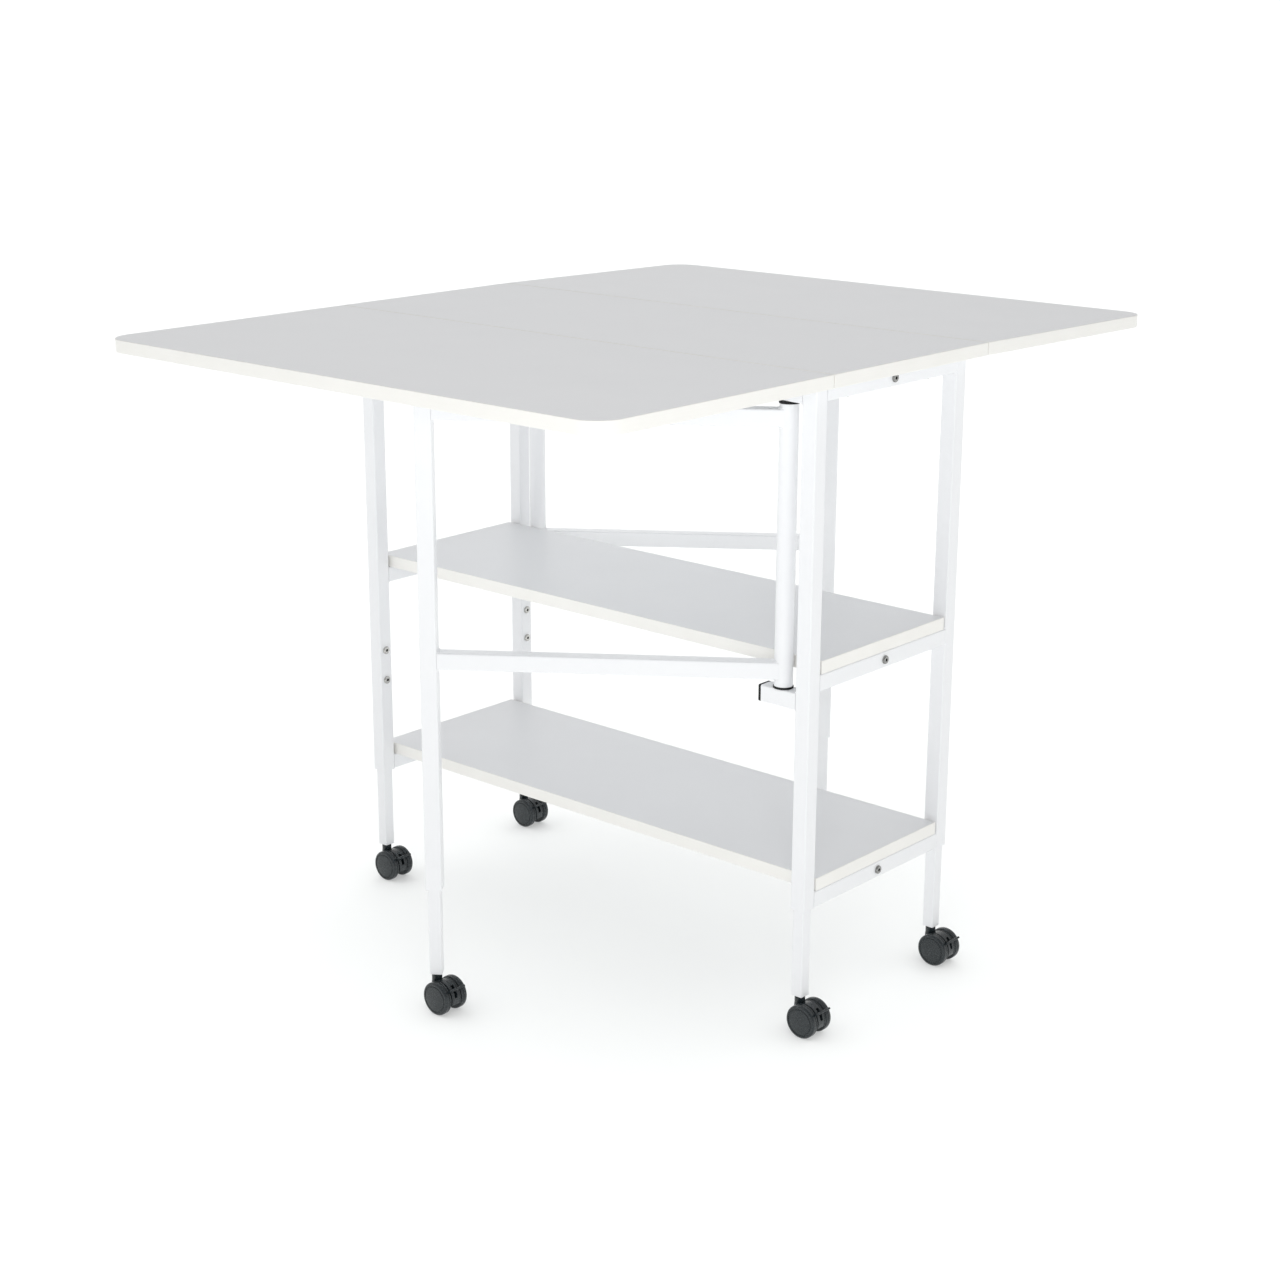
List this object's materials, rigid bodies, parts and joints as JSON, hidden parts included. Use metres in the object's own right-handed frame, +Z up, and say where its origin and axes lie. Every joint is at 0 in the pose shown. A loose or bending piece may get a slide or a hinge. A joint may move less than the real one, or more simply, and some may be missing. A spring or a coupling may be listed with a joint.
{
  "type": "sewing table",
  "caption": "Drop-leaf sewing table on braked casters, with swing-out gate legs under the leaves, open shelves and telescoping legs.",
  "frame": {"origin": "on the floor under the middle of the top", "axes": "+X along the top's seams, +Y across the leaves towards the back, +Z up"},
  "size_m": [0.9111, 1.2049, 0.907],
  "materials": {
    "melamine_board": "satin white melamine with off-white edge banding",
    "white_tube": "satin white powder coat",
    "plated_steel": "zinc-plated steel",
    "black_plastic": "matt black moulded plastic",
    "caster_plastic": "satin charcoal moulded plastic"
  },
  "bodies": {
    "frame": {"centre_panel": "melamine_board", "front_leaf": "melamine_board", "back_leaf": "melamine_board", "upper_shelf": "melamine_board", "lower_shelf": "melamine_board", "front_left_upright": "white_tube", "front_right_upright": "white_tube", "back_left_upright": "white_tube", "back_right_upright": "white_tube", "end_rails": "white_tube", "stretchers": "white_tube", "rail_bolts": "plated_steel", "upright_lock_screws": "plated_steel", "frame_plastic_caps": "black_plastic", "wood_screws": "plated_steel", "gate_stubs": "white_tube", "gate_pivot_pins": "plated_steel", "hinge_plates": "plated_steel", "hinge_pins": "plated_steel", "leaf_stops": "black_plastic"},
    "front_gate": {"front_gate_post": "white_tube", "front_gate_rails": "white_tube", "front_gate_leg_tube": "white_tube", "front_gate_plastic_caps": "black_plastic", "front_gate_lock_screws": "plated_steel"},
    "back_gate": {"back_gate_post": "white_tube", "back_gate_rails": "white_tube", "back_gate_leg_tube": "white_tube", "back_gate_plastic_caps": "black_plastic", "back_gate_lock_screws": "plated_steel"},
    "front_left_leg": {"front_left_inner_leg": "white_tube"},
    "front_left_caster": {"front_left_caster_steel": "plated_steel", "front_left_caster_housing": "caster_plastic"},
    "front_left_wheels": {"front_left_caster_wheels": "caster_plastic"},
    "front_left_brake": {"front_left_caster_brake": "caster_plastic"},
    "front_right_leg": {"front_right_inner_leg": "white_tube"},
    "front_right_caster": {"front_right_caster_steel": "plated_steel", "front_right_caster_housing": "caster_plastic"},
    "front_right_wheels": {"front_right_caster_wheels": "caster_plastic"},
    "front_right_brake": {"front_right_caster_brake": "caster_plastic"},
    "back_left_leg": {"back_left_inner_leg": "white_tube"},
    "back_left_caster": {"back_left_caster_steel": "plated_steel", "back_left_caster_housing": "caster_plastic"},
    "back_left_wheels": {"back_left_caster_wheels": "caster_plastic"},
    "back_left_brake": {"back_left_caster_brake": "caster_plastic"},
    "back_right_leg": {"back_right_inner_leg": "white_tube"},
    "back_right_caster": {"back_right_caster_steel": "plated_steel", "back_right_caster_housing": "caster_plastic"},
    "back_right_wheels": {"back_right_caster_wheels": "caster_plastic"},
    "back_right_brake": {"back_right_caster_brake": "caster_plastic"},
    "front_gate_leg": {"front_gate_inner_leg": "white_tube"},
    "front_gate_caster": {"front_gate_caster_steel": "plated_steel", "front_gate_caster_housing": "caster_plastic"},
    "front_gate_wheels": {"front_gate_caster_wheels": "caster_plastic"},
    "front_gate_brake": {"front_gate_caster_brake": "caster_plastic"},
    "back_gate_leg": {"back_gate_inner_leg": "white_tube"},
    "back_gate_caster": {"back_gate_caster_steel": "plated_steel", "back_gate_caster_housing": "caster_plastic"},
    "back_gate_wheels": {"back_gate_caster_wheels": "caster_plastic"},
    "back_gate_brake": {"back_gate_caster_brake": "caster_plastic"}
  },
  "joints": [
    {"name": "front_gate_swing", "type": "hinge", "parent": "frame", "child": "front_gate", "pos_m": [0.3735, -0.156, 0.671], "axis": [0, 0, 1], "range_deg": [-36.5, 0]},
    {"name": "back_gate_swing", "type": "hinge", "parent": "frame", "child": "back_gate", "pos_m": [-0.3735, 0.156, 0.671], "axis": [0, 0, 1], "range_deg": [-36.5, 0]},
    {"name": "front_left_leg_slide", "type": "slide", "parent": "frame", "child": "front_left_leg", "axis": [0, 0, 1], "range_m": [-0.02, 0.115]},
    {"name": "front_left_caster_swivel", "type": "hinge", "parent": "front_left_leg", "child": "front_left_caster", "pos_m": [-0.4135, -0.156, 0.053], "axis": [0, 0, 1], "continuous": true},
    {"name": "front_left_wheel_spin", "type": "hinge", "parent": "front_left_caster", "child": "front_left_wheels", "pos_m": [-0.3979, -0.156, 0.0236], "axis": [0, 1, 0], "continuous": true},
    {"name": "front_left_brake_press", "type": "hinge", "parent": "front_left_caster", "child": "front_left_brake", "pos_m": [-0.3887, -0.156, 0.0313], "axis": [0, 1, 0], "range_deg": [0, 14]},
    {"name": "front_right_leg_slide", "type": "slide", "parent": "frame", "child": "front_right_leg", "axis": [0, 0, 1], "range_m": [-0.02, 0.115]},
    {"name": "front_right_caster_swivel", "type": "hinge", "parent": "front_right_leg", "child": "front_right_caster", "pos_m": [0.4135, -0.156, 0.053], "axis": [0, 0, 1], "continuous": true},
    {"name": "front_right_wheel_spin", "type": "hinge", "parent": "front_right_caster", "child": "front_right_wheels", "pos_m": [0.4291, -0.156, 0.0236], "axis": [0, 1, 0], "continuous": true},
    {"name": "front_right_brake_press", "type": "hinge", "parent": "front_right_caster", "child": "front_right_brake", "pos_m": [0.4383, -0.156, 0.0313], "axis": [0, 1, 0], "range_deg": [0, 14]},
    {"name": "back_left_leg_slide", "type": "slide", "parent": "frame", "child": "back_left_leg", "axis": [0, 0, 1], "range_m": [-0.02, 0.115]},
    {"name": "back_left_caster_swivel", "type": "hinge", "parent": "back_left_leg", "child": "back_left_caster", "pos_m": [-0.4135, 0.156, 0.053], "axis": [0, 0, 1], "continuous": true},
    {"name": "back_left_wheel_spin", "type": "hinge", "parent": "back_left_caster", "child": "back_left_wheels", "pos_m": [-0.3979, 0.156, 0.0236], "axis": [0, 1, 0], "continuous": true},
    {"name": "back_left_brake_press", "type": "hinge", "parent": "back_left_caster", "child": "back_left_brake", "pos_m": [-0.3887, 0.156, 0.0313], "axis": [0, 1, 0], "range_deg": [0, 14]},
    {"name": "back_right_leg_slide", "type": "slide", "parent": "frame", "child": "back_right_leg", "axis": [0, 0, 1], "range_m": [-0.02, 0.115]},
    {"name": "back_right_caster_swivel", "type": "hinge", "parent": "back_right_leg", "child": "back_right_caster", "pos_m": [0.4135, 0.156, 0.053], "axis": [0, 0, 1], "continuous": true},
    {"name": "back_right_wheel_spin", "type": "hinge", "parent": "back_right_caster", "child": "back_right_wheels", "pos_m": [0.4291, 0.156, 0.0236], "axis": [0, 1, 0], "continuous": true},
    {"name": "back_right_brake_press", "type": "hinge", "parent": "back_right_caster", "child": "back_right_brake", "pos_m": [0.4383, 0.156, 0.0313], "axis": [0, 1, 0], "range_deg": [0, 14]},
    {"name": "front_gate_leg_slide", "type": "slide", "parent": "front_gate", "child": "front_gate_leg", "axis": [0, 0, 1], "range_m": [-0.02, 0.115]},
    {"name": "front_gate_caster_swivel", "type": "hinge", "parent": "front_gate_leg", "child": "front_gate_caster", "pos_m": [-0.00407, -0.43539, 0.053], "axis": [0, 0, 1], "continuous": true},
    {"name": "front_gate_wheel_spin", "type": "hinge", "parent": "front_gate_caster", "child": "front_gate_wheels", "pos_m": [0.01153, -0.43539, 0.0236], "axis": [0, 1, 0], "continuous": true},
    {"name": "front_gate_brake_press", "type": "hinge", "parent": "front_gate_caster", "child": "front_gate_brake", "pos_m": [0.02073, -0.43539, 0.0313], "axis": [0, 1, 0], "range_deg": [0, 14]},
    {"name": "back_gate_leg_slide", "type": "slide", "parent": "back_gate", "child": "back_gate_leg", "axis": [0, 0, 1], "range_m": [-0.02, 0.115]},
    {"name": "back_gate_caster_swivel", "type": "hinge", "parent": "back_gate_leg", "child": "back_gate_caster", "pos_m": [0.00407, 0.43539, 0.053], "axis": [0, 0, 1], "continuous": true},
    {"name": "back_gate_wheel_spin", "type": "hinge", "parent": "back_gate_caster", "child": "back_gate_wheels", "pos_m": [0.01967, 0.43539, 0.0236], "axis": [0, 1, 0], "continuous": true},
    {"name": "back_gate_brake_press", "type": "hinge", "parent": "back_gate_caster", "child": "back_gate_brake", "pos_m": [0.02887, 0.43539, 0.0313], "axis": [0, 1, 0], "range_deg": [0, 14]}
  ]
}
